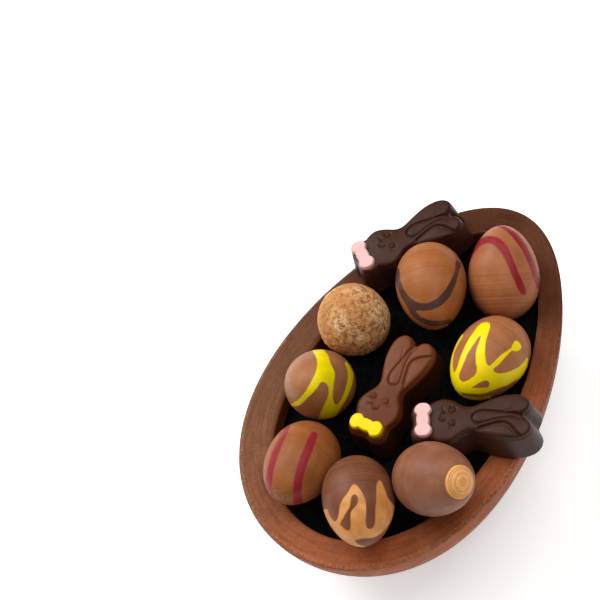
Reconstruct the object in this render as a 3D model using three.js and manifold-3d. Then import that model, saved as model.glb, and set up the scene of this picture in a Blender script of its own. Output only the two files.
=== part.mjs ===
// Half of a thick moulded chocolate egg, lying on its back with the open side up.
// It holds a bed of crumpled black tissue, and a heap of filled chocolates that rises
// above the rim: seven small eggs, one round cocoa-dusted truffle and three flat-backed
// bunnies that each wear a bow of coloured chocolate.
//
// Millimetres, +Z up, +X towards the pointed end of the egg. The origin is the middle
// of the small flat spot that the egg lies on.

import * as THREE from 'three';
import { mergeVertices } from 'three/addons/utils/BufferGeometryUtils.js';
import Module from 'manifold-3d';

// ---- Driving dimensions of the large half egg ----

const EGG_HALF_LENGTH = 75;
const EGG_HALF_WIDTH = 49;
const EGG_TAPER = 0.177; // how much narrower the pointed end is than the blunt end
const FLAT_SPOT_CUT = 1.0; // height taken off the round bottom so that the egg lies still

// The hollow is a smaller egg, set a little to one side, so the rim is uneven in width.
const HOLLOW_HALF_LENGTH = 64.3;
const HOLLOW_HALF_WIDTH = 38.5;
const HOLLOW_DEPTH = 40;
const HOLLOW_TAPER = 0.17;
const HOLLOW_SIDE_SHIFT = -1.1;
const RIM_OUTER_ROUND = 0.9;
const RIM_INNER_ROUND = 1.2;

// ---- Driving dimensions of what lies in it ----

const SMALL_EGG_HALF_LENGTH = 16.65;
const SMALL_EGG_HALF_WIDTH = 12.35;
const SMALL_EGG_TAPER = 0.12;
const TRUFFLE_RADIUS = 13.1;
const TRUFFLE_LUMPINESS = 0.012;

const BUNNY_THICKNESS = 14;
const BUNNY_EDGE_ROUND = 1.2;
const BUNNY_EDGE_BEVEL = 0.36; // from both surfaces to the middle of the rounded edge
const BUNNY_MIDDLE = 14; // from the bow to where the tissue carries it
const BOW_LOBE_RADIUS = 3.2;
const BOW_LOBE_SPREAD = 2.85;
const BOW_WAIST_RADIUS = 2.3;
const BOW_FLATNESS = 0.7;

const BED_EDGE_ANGLE = 9; // degrees below the rim plane where the tissue meets the wall
const BED_MIDDLE_LEVEL = -3; // millimetres from the rim plane
const BED_FOLD_HEIGHT = 1.3;
const BED_NEST_RADIUS = 9;
const BED_NEST_RISE = 1.5;
const BED_NEST_TOP = -1; // the tissue stays this far under the rim plane
const BED_WALL_GAP = 0.5; // clearance to the wall, where facets of both meet unevenly

const TOUCH_GAP = 0.3; // clearance kept between pieces that rest on each other
const CUTTER_GAP = 0.75; // the same, plus what coarse facets cut off a round cutter

// The seven small eggs: centre from the rim plane, and where the pointed end aims.
const SMALL_EGGS = [
  { name: 'caramel_swirl_egg', at: [29.1, 7.0, 11.9], azimuth: -142, elevation: 3 },
  { name: 'red_striped_tall_egg', at: [47.1, -11.1, 7.4], azimuth: 30, elevation: 30, size: 1.01 },
  { name: 'yellow_lattice_egg', at: [16.5, -23.4, 5.5], azimuth: 179, elevation: 11 },
  { name: 'yellow_band_egg', at: [-20.8, 23.1, 8.3], azimuth: -152, elevation: 64, size: 0.99 },
  { name: 'red_striped_low_egg', at: [-48.3, 12.3, 7.0], azimuth: -167, elevation: 26, size: 1.01 },
  { name: 'blond_swirl_egg', at: [-50.3, -14.9, 11.4], azimuth: -137, elevation: 9, size: 0.97 },
  { name: 'blond_tip_egg', at: [-32.2, -34.4, 15.5], azimuth: -85, elevation: 40, size: 0.98 },
];

const SMALL_EGG_COLOURS = {
  caramel_swirl_egg: 0xc08a58,
  red_striped_tall_egg: 0xab7148,
  yellow_lattice_egg: 0x99654a,
  yellow_band_egg: 0x99654a,
  red_striped_low_egg: 0xa97548,
  blond_swirl_egg: 0x8f5f45,
  blond_tip_egg: 0x9a6b52,
};

const TRUFFLE_AT = [6.1, 26.3, 8.7];

// The three bunnies: a point on the moulded face near the bow, where the ears aim, and how
// far along the face the middle of the bow is from that point.
const BUNNIES = [
  { name: 'milk_bunny', at: [-27.0, -2.0, 10.5], azimuth: 4, bow: 'yellow_bow', bowAlong: 0.6 },
  { name: 'dark_bunny_low', at: [-17.3, -18.3, 14.4], azimuth: -57, bow: 'pink_bow_low', bowAlong: 1.6 },
  { name: 'dark_bunny_top', at: [27.1, 34.7, 14.4], azimuth: -32, bow: 'pink_bow_top', bowAlong: 0.2 },
];

const SHELL_CHOCOLATE = 0x7a4a34;
const BLACK_TISSUE = 0x0c0c0e;
const COCOA_DUST = 0xb98a5c;
const MILK_CHOCOLATE = 0x6f4432;
const DARK_CHOCOLATE = 0x3d2b26;
const YELLOW_CHOCOLATE = 0xf5e400;
const PINK_CHOCOLATE = 0xf3cfd0;
const BUNNY_COLOURS = {
  milk_bunny: MILK_CHOCOLATE,
  dark_bunny_low: DARK_CHOCOLATE,
  dark_bunny_top: DARK_CHOCOLATE,
  yellow_bow: YELLOW_CHOCOLATE,
  pink_bow_low: PINK_CHOCOLATE,
  pink_bow_top: PINK_CHOCOLATE,
};

const SATIN_ROUGHNESS = 0.45;
const PAPER_ROUGHNESS = 0.6;
const DUST_ROUGHNESS = 0.95;

// One half of the bunny's outline, from under the bow, round the head and the ear, to the
// notch between the ears. Each row is distance along and half width, on the moulded face
// and then at the foot, which stands out past the face all round.
const BUNNY_HALF_OUTLINE = [
  [-2.2, 1.1, -3.6, 1.1],
  [-2.8, 3.1, -4.2, 3.5],
  [-2.3, 5.4, -3.4, 6.6],
  [-0.7, 6.8, -1.2, 8.1],
  [1.5, 6.8, 1.4, 8.2],
  [3.4, 6.4, 3.9, 8.0],
  [5.0, 7.1, 5.2, 8.4],
  [6.6, 7.7, 6.8, 8.9],
  [8.4, 7.9, 8.7, 9.1],
  [10.7, 7.3, 11.2, 8.5],
  [12.8, 6.2, 13.5, 7.4],
  [14.7, 5.0, 15.2, 6.4],
  [16.5, 4.5, 16.6, 6.0],
  [18.5, 4.7, 18.0, 6.3],
  [20.7, 5.5, 20.1, 7.2],
  [23.0, 6.3, 22.4, 8.0],
  [26.0, 7.2, 25.5, 9.0],
  [29.0, 7.7, 28.8, 9.6],
  [32.0, 7.8, 32.6, 9.7],
  [34.2, 7.4, 35.4, 9.1],
  [35.9, 6.4, 37.7, 7.9],
  [36.9, 5.0, 39.2, 6.0],
  [37.0, 3.6, 39.7, 4.0],
  [36.2, 2.0, 39.2, 2.0],
  [34.6, 0.7, 38.5, 0.6],
];

// ---- Facets ----

const SHELL_AROUND = 60;
const SHELL_DOWN_OUTSIDE = 10;
const SHELL_DOWN_INSIDE = 9;
const BED_AROUND = 44;
const BED_DOWN = 4;
const BED_RINGS = 8;
const SMALL_EGG_FACETS = [24, 13];
const CUTTER_FACETS = [14, 9];
const BOW_FACETS = [12, 14];

const wasm = await Module();
wasm.setup();

// ---- Solids and booleans ----

// Keeps only positions, with shared vertices merged, as a closed mesh needs.
function closed(geometry) {
  geometry.deleteAttribute('normal');
  geometry.deleteAttribute('uv');
  return mergeVertices(geometry, 1e-4);
}

function toSolid(geometry) {
  const vertProperties = new Float32Array(geometry.attributes.position.array);
  const triVerts = new Uint32Array(geometry.index.array);
  return new wasm.Manifold(new wasm.Mesh({ numProp: 3, vertProperties, triVerts }));
}

function toGeometry(solid) {
  const mesh = solid.getMesh();
  const geometry = new THREE.BufferGeometry();
  geometry.setAttribute('position', new THREE.BufferAttribute(new Float32Array(mesh.vertProperties), 3));
  geometry.setIndex([...mesh.triVerts]);
  return geometry;
}

function cut(geometry, cutters) {
  let solid = toSolid(geometry);
  for (const cutter of cutters) solid = solid.subtract(toSolid(cutter));
  return toGeometry(solid);
}

// Joins equal rings of points into a skin, and closes both ends with the given caps.
// A cap is either one point, the tip of a fan, or null for a flat outline cap.
function ringSolid(rings, firstTip, lastTip) {
  const count = rings[0].length;
  const points = rings.flat();
  const index = [];
  for (let r = 0; r + 1 < rings.length; r += 1) {
    for (let i = 0; i < count; i += 1) {
      const a = r * count + i;
      const b = r * count + ((i + 1) % count);
      index.push(a, b, b + count, a, b + count, a + count);
    }
  }
  closeEnd(points, index, rings[0], 0, firstTip, true);
  closeEnd(points, index, rings.at(-1), (rings.length - 1) * count, lastTip, false);
  const geometry = new THREE.BufferGeometry();
  geometry.setFromPoints(points);
  geometry.setIndex(index);
  return geometry;
}

function closeEnd(points, index, ring, offset, tip, reversed) {
  const faces = tip ? fanFaces(ring.length, points.length - offset) : flatFaces(ring);
  if (tip) points.push(tip);
  for (const [a, b, c] of faces) {
    const face = reversed ? [a, c, b] : [a, b, c];
    index.push(...face.map((corner) => corner + offset));
  }
}

function fanFaces(count, tipIndex) {
  return Array.from({ length: count }, (_, i) => [i, (i + 1) % count, tipIndex]);
}

function flatFaces(ring) {
  const outline = ring.map((p) => new THREE.Vector2(p.x, p.y));
  return THREE.ShapeUtils.triangulateShape(outline, []);
}

// ---- The large half egg ----

// A point of an egg lying along X: a unit sphere, stretched, with one end narrower.
function eggPoint(egg, around, down) {
  const along = Math.cos(around) * Math.cos(down);
  const narrowing = 1 - egg.taper * along;
  return new THREE.Vector3(
    egg.halfLength * along,
    egg.sideShift + egg.halfWidth * narrowing * Math.sin(around) * Math.cos(down),
    -egg.depth * narrowing * Math.sin(down),
  );
}

const OUTSIDE = {
  halfLength: EGG_HALF_LENGTH,
  halfWidth: EGG_HALF_WIDTH,
  depth: EGG_HALF_WIDTH,
  taper: EGG_TAPER,
  sideShift: 0,
};

const HOLLOW = {
  halfLength: HOLLOW_HALF_LENGTH,
  halfWidth: HOLLOW_HALF_WIDTH,
  depth: HOLLOW_DEPTH,
  taper: HOLLOW_TAPER,
  sideShift: HOLLOW_SIDE_SHIFT,
};

function grown(egg, by) {
  return {
    ...egg,
    halfLength: egg.halfLength + by,
    halfWidth: egg.halfWidth + by,
    depth: egg.depth + by,
  };
}

function eggRing(egg, down, count, drop = 0) {
  const ring = [];
  for (let i = 0; i < count; i += 1) {
    const point = eggPoint(egg, (i / count) * 2 * Math.PI, down);
    point.z -= drop;
    ring.push(point);
  }
  return ring;
}

// The lowest point of the outside, seen from the rim plane, where the body is widest.
// Along the keel, height is (1 - taper * c) * sqrt(1 - c * c), with c the share of the
// half length, and its greatest value is at the root of 2 * taper * c * c - c - taper.
function keelPoint() {
  const along = (1 - Math.sqrt(1 + 8 * EGG_TAPER ** 2)) / (4 * EGG_TAPER);
  return eggPoint(OUTSIDE, 0, Math.acos(along));
}

const KEEL = keelPoint();
const RIM_HEIGHT = -KEEL.z - FLAT_SPOT_CUT;

function shellGeometry() {
  const quarter = Math.PI / 2;
  const rings = [];
  for (let i = SHELL_DOWN_OUTSIDE - 1; i >= 1; i -= 1) {
    rings.push(eggRing(OUTSIDE, (quarter * i) / SHELL_DOWN_OUTSIDE, SHELL_AROUND));
  }
  rings.push(eggRing(OUTSIDE, 0, SHELL_AROUND, RIM_OUTER_ROUND));
  rings.push(eggRing(grown(OUTSIDE, -RIM_OUTER_ROUND), 0, SHELL_AROUND));
  rings.push(eggRing(grown(HOLLOW, RIM_INNER_ROUND), 0, SHELL_AROUND));
  rings.push(eggRing(HOLLOW, 0, SHELL_AROUND, RIM_INNER_ROUND));
  for (let i = 1; i < SHELL_DOWN_INSIDE; i += 1) {
    rings.push(eggRing(HOLLOW, (quarter * i) / SHELL_DOWN_INSIDE, SHELL_AROUND));
  }
  const body = ringSolid(rings, eggPoint(OUTSIDE, 0, quarter), eggPoint(HOLLOW, 0, quarter));
  return cut(body, [floorBlock()]);
}

// Everything below the surface that the egg lies on.
function floorBlock() {
  const blockHeight = 10;
  const blockWidth = 3 * EGG_HALF_LENGTH;
  const block = new THREE.BoxGeometry(blockWidth, blockWidth, blockHeight);
  block.translate(0, 0, -RIM_HEIGHT - blockHeight / 2);
  return closed(block);
}

// ---- The small eggs and the truffle ----

// A closed unit sphere whose poles lie on X.
function unitSphere([around, along]) {
  const sphere = new THREE.SphereGeometry(1, around, along);
  sphere.rotateZ(-Math.PI / 2);
  return closed(sphere);
}

function reshape(geometry, change) {
  const position = geometry.attributes.position;
  const point = new THREE.Vector3();
  for (let i = 0; i < position.count; i += 1) {
    point.fromBufferAttribute(position, i);
    change(point);
    position.setXYZ(i, point.x, point.y, point.z);
  }
  return geometry;
}

function smallEggGeometry(size = 1, extra = 0, facets = SMALL_EGG_FACETS) {
  const halfLength = SMALL_EGG_HALF_LENGTH * size + extra;
  const halfWidth = SMALL_EGG_HALF_WIDTH * size + extra;
  return reshape(unitSphere(facets), (point) => {
    const width = halfWidth * (1 - SMALL_EGG_TAPER * point.x);
    point.set(halfLength * point.x, width * point.y, width * point.z);
  });
}

// A rolled ball, a little lumpy.
function truffleGeometry(extra = 0, facets = SMALL_EGG_FACETS) {
  return reshape(unitSphere(facets), (point) => {
    const lumps = Math.sin(3 * point.x + 1) + Math.sin(4 * point.y) + Math.cos(3 * point.z + 2);
    point.multiplyScalar(TRUFFLE_RADIUS * (1 + TRUFFLE_LUMPINESS * lumps) + extra);
  });
}

// ---- The bunnies and their bows ----

// The bunny's outline as a closed ring lying along X. Column 0 of the table starts the
// outline of the face, and column 2 that of the foot.
function bunnyOutline(column) {
  const half = BUNNY_HALF_OUTLINE.map((row) => new THREE.Vector3(row[column], row[column + 1], 0));
  const mirrored = half.map((point) => new THREE.Vector3(point.x, -point.y, 0));
  return [...mirrored, ...half.reverse()];
}

// The outline moved outwards, or inwards for a negative distance, at a level.
function offsetRing(outline, distance, level) {
  const count = outline.length;
  return outline.map((point, i) => {
    const before = outline[(i + count - 1) % count];
    const after = outline[(i + 1) % count];
    const outward = new THREE.Vector3(after.y - before.y, before.x - after.x, 0).normalize();
    return new THREE.Vector3(point.x, point.y, level).addScaledVector(outward, distance);
  });
}

function bunnyGeometry(extra = 0) {
  const face = bunnyOutline(0);
  const foot = bunnyOutline(2);
  const edge = BUNNY_EDGE_ROUND;
  const bevel = BUNNY_EDGE_BEVEL;
  const rings = [
    offsetRing(foot, extra, -BUNNY_THICKNESS - extra),
    offsetRing(face, extra, -edge),
    offsetRing(face, extra - bevel, extra - bevel),
    offsetRing(face, extra - edge, extra),
  ];
  return ringSolid(rings, null, null);
}

// A bow of soft set chocolate: two round lobes joined by a waist, lying along Y.
// It follows the face of the bunny, and its underside is the face's own shape.
function bowGeometry(along) {
  const reach = BOW_LOBE_SPREAD + BOW_LOBE_RADIUS;
  const bow = reshape(unitSphere(BOW_FACETS).rotateZ(Math.PI / 2), (point) => {
    const side = point.y * reach;
    const round = Math.hypot(point.x, point.z) || 1;
    const scale = bowRadius(side) / round;
    point.set(along + point.x * scale, side, point.z * scale * BOW_FLATNESS + TOUCH_GAP);
  });
  return cut(bow, [bunnyGeometry(TOUCH_GAP)]);
}

function bowRadius(side) {
  const fromLobe = Math.abs(side) - BOW_LOBE_SPREAD;
  const lobe = Math.sqrt(Math.max(0, BOW_LOBE_RADIUS ** 2 - fromLobe ** 2));
  return Math.abs(side) < BOW_LOBE_SPREAD ? Math.max(lobe, BOW_WAIST_RADIUS) : lobe;
}

// ---- The bed of crumpled tissue ----

// A sharp fold, like a crease in paper: a zigzag between -0.5 and 0.5.
function crease(t) {
  return 2 * Math.abs(t - Math.round(t)) - 0.5;
}

// Folds in three directions: each row is how many go to a millimetre along x and along y,
// and the place of the first one.
const BED_FOLDS = [
  [1 / 17, 1 / 31, 0],
  [-1 / 29, 1 / 13, 0.3],
  [1 / 19, 1 / 19, 0.6],
];

function folds(x, y) {
  const heights = BED_FOLDS.map(([perX, perY, start]) => crease(x * perX + y * perY + start));
  return BED_FOLD_HEIGHT * heights.reduce((sum, height) => sum + height, 0);
}

// What the tissue carries: the underside of each piece.
function carried() {
  const eggs = SMALL_EGGS.map(({ at, size = 1 }) => ({ at, under: SMALL_EGG_HALF_WIDTH * size }));
  const bunnies = BUNNIES.map(({ at: [x, y, z], azimuth }) => {
    const angle = THREE.MathUtils.degToRad(azimuth);
    const middle = [x + BUNNY_MIDDLE * Math.cos(angle), y + BUNNY_MIDDLE * Math.sin(angle), z];
    return { at: middle, under: BUNNY_THICKNESS };
  });
  return [...eggs, ...bunnies, { at: TRUFFLE_AT, under: TRUFFLE_RADIUS }];
}

const CARRIED = carried();

// The level of the tissue: creased, lower at the wall, and raised under each piece.
function bedLevel(x, y, out, edgeLevel) {
  let level = THREE.MathUtils.lerp(BED_MIDDLE_LEVEL, edgeLevel, out ** 2);
  for (const { at, under } of CARRIED) {
    const near = Math.exp(-(((x - at[0]) ** 2 + (y - at[1]) ** 2) / BED_NEST_RADIUS ** 2));
    const nest = Math.min(at[2] - under + BED_NEST_RISE, BED_NEST_TOP);
    level += Math.max(0, nest - level) * near * (1 - out ** 6);
  }
  return level + folds(x, y) * (1 - out ** 4);
}

function bedGeometry() {
  const wall = grown(HOLLOW, -BED_WALL_GAP);
  const edgeAngle = THREE.MathUtils.degToRad(BED_EDGE_ANGLE);
  const rings = [];
  for (let i = 1; i <= BED_DOWN; i += 1) {
    const down = THREE.MathUtils.lerp(Math.PI / 2, edgeAngle, i / BED_DOWN);
    rings.push(eggRing(wall, down, BED_AROUND));
  }
  const edge = rings.at(-1);
  for (let i = BED_RINGS - 1; i >= 1; i -= 1) {
    const out = i / BED_RINGS;
    rings.push(edge.map((point) => bedPoint(point, out)));
  }
  const bottom = eggPoint(wall, 0, Math.PI / 2);
  const middle = bedPoint(edge[0], 0);
  const contents = [...SMALL_EGGS.map(eggCutter), truffleCutter(), ...BUNNIES.map(bunnyCutter)];
  return cut(ringSolid(rings, bottom, middle), contents);
}

function bedPoint(edgePoint, out) {
  const x = edgePoint.x * out;
  const y = THREE.MathUtils.lerp(HOLLOW_SIDE_SHIFT, edgePoint.y, out);
  return new THREE.Vector3(x, y, bedLevel(x, y, out, edgePoint.z));
}

// ---- Placing ----

// Aims local +X by azimuth about Z and elevation above the level, and moves it there.
function place(object, [x, y, z], azimuth, elevation = 0) {
  const up = THREE.MathUtils.degToRad(elevation);
  const turn = THREE.MathUtils.degToRad(azimuth);
  object.rotation.set(0, -up, turn, 'ZYX');
  object.position.set(x, y, z);
  return object;
}

function placedGeometry(geometry, at, azimuth, elevation) {
  const holder = place(new THREE.Object3D(), at, azimuth, elevation);
  holder.updateMatrix();
  return geometry.applyMatrix4(holder.matrix);
}

function eggCutter({ at, azimuth, elevation, size }) {
  return placedGeometry(smallEggGeometry(size, CUTTER_GAP, CUTTER_FACETS), at, azimuth, elevation);
}

function truffleCutter() {
  return placedGeometry(truffleGeometry(CUTTER_GAP, CUTTER_FACETS), TRUFFLE_AT, 0, 0);
}

function bunnyCutter({ at, azimuth }) {
  return placedGeometry(bunnyGeometry(TOUCH_GAP), at, azimuth, 0);
}

// ---- The object ----

function piece(name, geometry, colour, roughness) {
  const material = new THREE.MeshStandardMaterial({ color: colour, roughness, metalness: 0 });
  const mesh = new THREE.Mesh(geometry, material);
  mesh.name = name;
  return mesh;
}

function filledHalfEgg() {
  const object = new THREE.Group();
  object.position.set(-KEEL.x, 0, RIM_HEIGHT);
  object.add(piece('shell', shellGeometry(), SHELL_CHOCOLATE, SATIN_ROUGHNESS));
  object.add(piece('tissue_bed', bedGeometry(), BLACK_TISSUE, PAPER_ROUGHNESS));
  for (const { name, at, azimuth, elevation, size } of SMALL_EGGS) {
    const egg = piece(name, smallEggGeometry(size), SMALL_EGG_COLOURS[name], SATIN_ROUGHNESS);
    object.add(place(egg, at, azimuth, elevation));
  }
  const truffle = piece('truffle', truffleGeometry(), COCOA_DUST, DUST_ROUGHNESS);
  object.add(place(truffle, TRUFFLE_AT, 0));
  for (const { name, at, azimuth, bow, bowAlong } of BUNNIES) {
    const bunny = piece(name, bunnyGeometry(), BUNNY_COLOURS[name], SATIN_ROUGHNESS);
    const tied = piece(bow, bowGeometry(bowAlong), BUNNY_COLOURS[bow], SATIN_ROUGHNESS);
    object.add(place(bunny, at, azimuth));
    object.add(place(tied, at, azimuth));
  }
  return object;
}

const model = new THREE.Group();
model.add(filledHalfEgg());

export default model;
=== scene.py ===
# The looks of a filled half egg of chocolate. Every node of the frame is replaced by a finely
# meshed piece of the same form, seen on a pale floor in soft studio light.
#
# Shapes are worked out in millimetres, from the middle of the rim plane, with +X towards the
# pointed end of the egg and +Z up. They are turned into the frame's metres as meshes are made.

import math

import bmesh
import bpy
import numpy as np
from mathutils import Matrix, Vector, noise


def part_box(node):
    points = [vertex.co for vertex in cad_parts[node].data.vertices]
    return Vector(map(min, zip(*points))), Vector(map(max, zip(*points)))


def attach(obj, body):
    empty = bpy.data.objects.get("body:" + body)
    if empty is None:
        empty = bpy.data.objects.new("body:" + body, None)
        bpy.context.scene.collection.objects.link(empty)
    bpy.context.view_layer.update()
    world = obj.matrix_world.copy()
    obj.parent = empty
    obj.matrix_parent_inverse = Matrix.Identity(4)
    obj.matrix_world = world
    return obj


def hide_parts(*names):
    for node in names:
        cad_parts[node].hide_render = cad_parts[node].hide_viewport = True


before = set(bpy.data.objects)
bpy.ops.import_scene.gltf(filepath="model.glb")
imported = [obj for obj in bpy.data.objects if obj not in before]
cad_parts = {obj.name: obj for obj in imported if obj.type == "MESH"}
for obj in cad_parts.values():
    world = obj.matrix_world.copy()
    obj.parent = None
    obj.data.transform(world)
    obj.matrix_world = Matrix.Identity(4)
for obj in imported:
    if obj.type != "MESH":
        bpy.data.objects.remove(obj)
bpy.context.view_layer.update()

MM = 0.001
FAR = 999.0  # farther than anything that is measured from a line

# ---- The large half egg, from the frame where it can be read off ----

SHELL_LOW, SHELL_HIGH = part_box("shell")
RIM_MIDDLE = Vector(((SHELL_LOW.x + SHELL_HIGH.x) / 2, (SHELL_LOW.y + SHELL_HIGH.y) / 2, SHELL_HIGH.z))
RIM_HEIGHT = (SHELL_HIGH.z - SHELL_LOW.z) / MM
EGG_HALF_LENGTH = (SHELL_HIGH.x - SHELL_LOW.x) / 2 / MM
EGG_HALF_WIDTH = 49
EGG_TAPER = 0.177
HOLLOW_HALF_LENGTH = 64.3
HOLLOW_HALF_WIDTH = 38.5
HOLLOW_DEPTH = 40
HOLLOW_TAPER = 0.17
HOLLOW_SIDE_SHIFT = -1.1
RIM_OUTER_ROUND = 0.9
RIM_INNER_ROUND = 1.2

# ---- What lies in it ----

SMALL_EGG_HALF_LENGTH = 16.65
SMALL_EGG_HALF_WIDTH = 12.35
SMALL_EGG_TAPER = 0.12
TRUFFLE_AT = (6.1, 26.3, 8.7)
TRUFFLE_RADIUS = 13.1
TRUFFLE_LUMPINESS = 0.012

BUNNY_THICKNESS = 14
BUNNY_EDGE_ROUND = 1.1
# One half of the outline, from under the bow to the notch between the ears. Each row is the
# distance along and the half width, on the moulded face and then at the wider foot.
BUNNY_HALF_OUTLINE = (
    (-2.2, 1.1, -3.6, 1.1), (-2.8, 3.1, -4.2, 3.5), (-2.3, 5.4, -3.4, 6.6), (-0.7, 6.8, -1.2, 8.1),
    (1.5, 6.8, 1.4, 8.2), (3.4, 6.4, 3.9, 8.0), (5.0, 7.1, 5.2, 8.4), (6.6, 7.7, 6.8, 8.9),
    (8.4, 7.9, 8.7, 9.1), (10.7, 7.3, 11.2, 8.5), (12.8, 6.2, 13.5, 7.4), (14.7, 5.0, 15.2, 6.4),
    (16.5, 4.5, 16.6, 6.0), (18.5, 4.7, 18.0, 6.3), (20.7, 5.5, 20.1, 7.2), (23.0, 6.3, 22.4, 8.0),
    (26.0, 7.2, 25.5, 9.0), (29.0, 7.7, 28.8, 9.6), (32.0, 7.8, 32.6, 9.7), (34.2, 7.4, 35.4, 9.1),
    (35.9, 6.4, 37.7, 7.9), (36.9, 5.0, 39.2, 6.0), (37.0, 3.6, 39.7, 4.0), (36.2, 2.0, 39.2, 2.0),
    (34.6, 0.7, 38.5, 0.6),
)
BOW_LOBE_RADIUS = 3.25
BOW_LOBE_SPREAD = 2.8
BOW_KNOT_HALF_WIDTH = 2.3
BOW_HEIGHT = 2.2

# Centre from the rim plane, where the pointed end aims in degrees, and share of the full size.
EGG_PLACES = {
    "caramel_swirl_egg": ((29.1, 7.0, 11.9), -142, 3, 1),
    "red_striped_tall_egg": ((47.1, -11.1, 7.4), 30, 30, 1.01),
    "yellow_lattice_egg": ((16.5, -23.4, 5.5), 179, 11, 1),
    "yellow_band_egg": ((-20.8, 23.1, 8.3), -152, 64, 0.99),
    "red_striped_low_egg": ((-48.3, 12.3, 7.0), -167, 26, 1.01),
    "blond_swirl_egg": ((-50.3, -14.9, 11.4), -137, 9, 0.97),
    "blond_tip_egg": ((-32.2, -34.4, 15.5), -85, 40, 0.98),
}

# A point on the moulded face near the bow, where the ears aim, the bow's node, and how far
# along the face the middle of the bow is from that point.
BUNNY_PLACES = {
    "milk_bunny": ((-27.0, -2.0, 10.5), 4, "yellow_bow", 0.6),
    "dark_bunny_low": ((-17.3, -18.3, 14.4), -57, "pink_bow_low", 1.6),
    "dark_bunny_top": ((27.1, 34.7, 14.4), -32, "pink_bow_top", 0.2),
}

# ---- The camera, set from the rim plane in millimetres ----

IMAGE_SIZE = 600
LENS = 85
SENSOR = 36
FOCAL_PIXELS = IMAGE_SIZE * LENS / SENSOR
CAMERA_AT = Vector((-135.34, -190.01, 443.00))
CAMERA_RIGHT = Vector((0.55816, -0.78947, -0.25531)).normalized()
CAMERA_UP = Vector((0.78457, 0.40204, 0.47204)).normalized()
CAMERA_BACK = CAMERA_RIGHT.cross(CAMERA_UP)

# ---- The poured bands on the small eggs ----
# They are drawn in pixels of the 600 pixel wide image, and thrown on the egg from the camera.

# A stripe is a line of (x, y, width).
STRIPES = {
    "red_striped_tall_egg": [
        [(468, 263, 3), (470.5, 256, 4), (474, 249.2, 5), (478, 244, 6), (483, 241, 6.8), (490, 239.8, 7.6),
         (496.3, 241.6, 8.6), (501.5, 246, 9), (505.5, 252, 8.6), (509, 259, 7.8), (512.3, 266.5, 7.4),
         (515.4, 274, 7.2), (518.5, 281.3, 7.4), (521.4, 287.8, 7.4), (523.6, 292, 6)],
        [(489, 224.8, 1.5), (498, 225.8, 2), (505.5, 228.6, 3.4), (512, 233, 5), (517.6, 238.8, 6),
         (523, 246, 6.2), (527.3, 254, 6), (531, 262, 5.8), (533.8, 270, 5.8), (536, 278, 5.4),
         (537.6, 284, 4.4), (538.2, 287.5, 2.5)],
    ],
    "red_striped_low_egg": [
        [(288, 427.6, 3.6), (284.6, 433.6, 5.2), (280.5, 441.5, 6), (277.2, 449, 6.4), (274.2, 457, 6.8),
         (271.8, 465, 6.8), (270, 473, 6.8), (268.8, 481, 6.8), (268.2, 488, 6.4), (268.8, 495, 5.6),
         (271.4, 501, 4)],
        [(313.8, 435.6, 7.6), (311.2, 441.4, 8.6), (308.8, 448, 8.8), (305.8, 455.6, 9), (302.6, 463.4, 9),
         (300.3, 471, 9), (298.6, 479, 8.8), (297.6, 487, 8.6), (297.4, 495, 8.8), (298, 502, 9),
         (299.6, 508, 8)],
    ],
}

CARAMEL_SWIRL = (
    (398.3, 268.3), (399.6, 273), (400.5, 280), (402, 285), (404.5, 290), (408, 295), (412, 299),
    (417, 302), (424, 303.4), (430, 302.2), (436, 299), (441, 294.6), (445.5, 289.4), (449, 283.6),
    (452.6, 277), (455, 270), (455.4, 264), (456.4, 260.3), (459, 262), (461.6, 265.5), (459.6, 269),
    (458.5, 272.6), (457.3, 278), (455.8, 283.4), (453.5, 289.2), (450.6, 295), (447, 300), (442.5, 304.4),
    (437, 307.8), (431, 310), (424, 310.9), (418, 310.6), (415.8, 310.8), (417.6, 313.6), (421, 316.6),
    (426, 319), (432, 320.4), (438, 320.9), (444, 320.5), (450, 319), (452, 322), (445, 325), (438, 326),
    (432, 326.2), (427, 325.1), (422, 322.9), (417, 320), (413, 316.8), (410.4, 313.2), (408.4, 309.4),
    (406, 305), (403, 300), (400.4, 295), (398.4, 290), (396.8, 285), (395.2, 280), (393, 275),
    (394.6, 269),
)
YELLOW_LATTICE = (
    (486, 322.4), (482, 323), (478.5, 325.6), (475.4, 329.6), (472.2, 334), (469, 338.6), (466.6, 343),
    (464.2, 347.8), (462.2, 352.4), (460.4, 357.2), (458.8, 362), (457.4, 366.4), (455.8, 370),
    (454, 372.6), (453, 367), (452.9, 362), (453.6, 356), (455.4, 350), (458.2, 344), (461.6, 338),
    (463.4, 335), (460.6, 334), (454, 344), (449, 356), (446.4, 370), (446.4, 380), (449, 390),
    (454.6, 398), (463, 403), (472, 405), (482, 404), (492, 399.4), (491, 396), (482, 397.4), (475, 397.4),
    (468, 396.4), (462.6, 394.8), (461.4, 392.4), (465, 393), (470, 393.6), (478, 394.1), (485, 393.1),
    (490, 391.4), (495, 389.4), (500, 387.4), (505, 386), (510, 383.5), (515, 380.4), (519, 378.8),
    (522.6, 376.8), (525.4, 373), (527, 369), (527.3, 364), (527.9, 359.6), (527.2, 357.3), (525, 360.5),
    (521.5, 364.4), (517, 367.9), (511.5, 370.7), (505.5, 372.7), (500, 373.5), (496.4, 372.8),
    (493.9, 371), (493.6, 368.6), (495.6, 367.2), (498, 365.2), (500.6, 362.4), (503.6, 359), (507, 355.4),
    (510, 352), (512, 350.4), (513.6, 350.8), (516.6, 351.2), (520, 349.6), (521.2, 347), (520, 343.6),
    (517.6, 341.2), (515.4, 340.8), (513.4, 342.9), (512, 345.6), (511.4, 347.8), (509.4, 349.2),
    (506.4, 351.4), (503, 353.5), (499.6, 356.4), (496.6, 359.4), (493.6, 362.5), (490.6, 365.1),
    (488.6, 365.8), (487, 364), (485.6, 360), (485, 355), (485, 349), (485.6, 343), (486.9, 337),
    (488.6, 332), (489.8, 327.5), (489.8, 324), (488.4, 322.5),
)
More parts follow.
